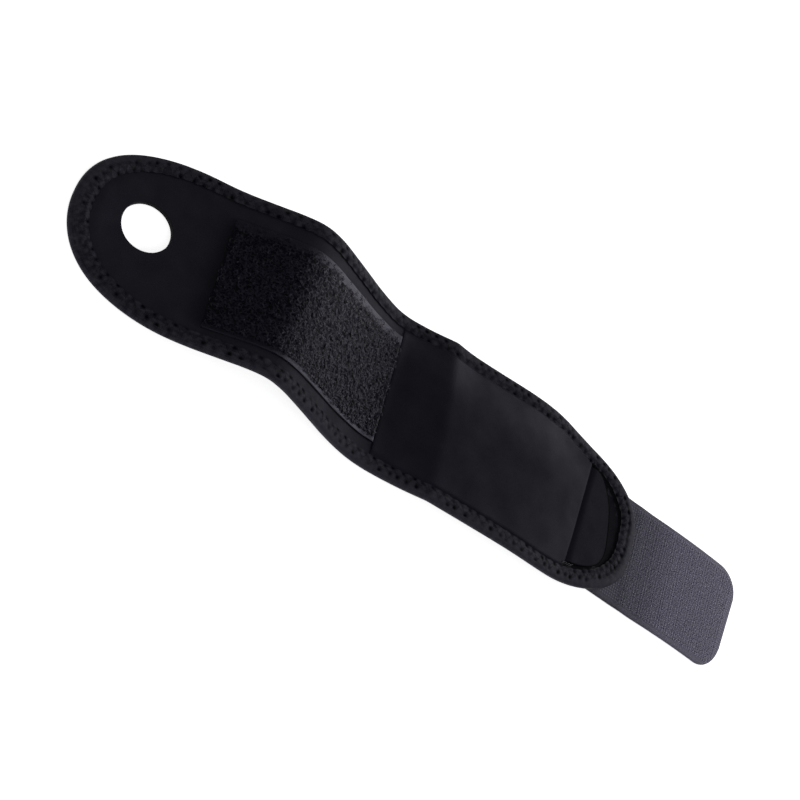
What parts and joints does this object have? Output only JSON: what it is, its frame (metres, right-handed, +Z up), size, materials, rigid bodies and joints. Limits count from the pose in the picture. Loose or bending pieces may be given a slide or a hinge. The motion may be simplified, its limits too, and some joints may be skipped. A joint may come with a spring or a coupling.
{
  "type": "wrist support",
  "caption": "Soft neoprene wrist support lying open in a shallow wave: a bound band with a thumb hole, a loop tape patch, a stay pocket and a hook tape strap that closes it.",
  "frame": {"origin": "middle of the bottom of the whole support's box, on the surface it lies on", "axes": "+X along the band from its thumb end towards the hook strap's free end, +Y across it, +Z up from the surface"},
  "size_m": [0.3643, 0.07, 0.0248],
  "materials": {
    "neoprene": "matte black jersey-faced neoprene foam",
    "binding_tape": "matte black folded knit binding tape with two stitch rows",
    "loop_tape": "fuzzy black loop pile tape",
    "jersey": "smooth black nylon jersey with a faint sheen",
    "hook_tape": "dark grey woven nylon hook tape"
  },
  "bodies": {
    "root": {"neoprene_band": "neoprene", "edge_binding": "binding_tape", "loop_patch": "loop_tape", "pocket_panel": "jersey", "stay_pad": "jersey", "hook_strap": "hook_tape"}
  },
  "joints": []
}
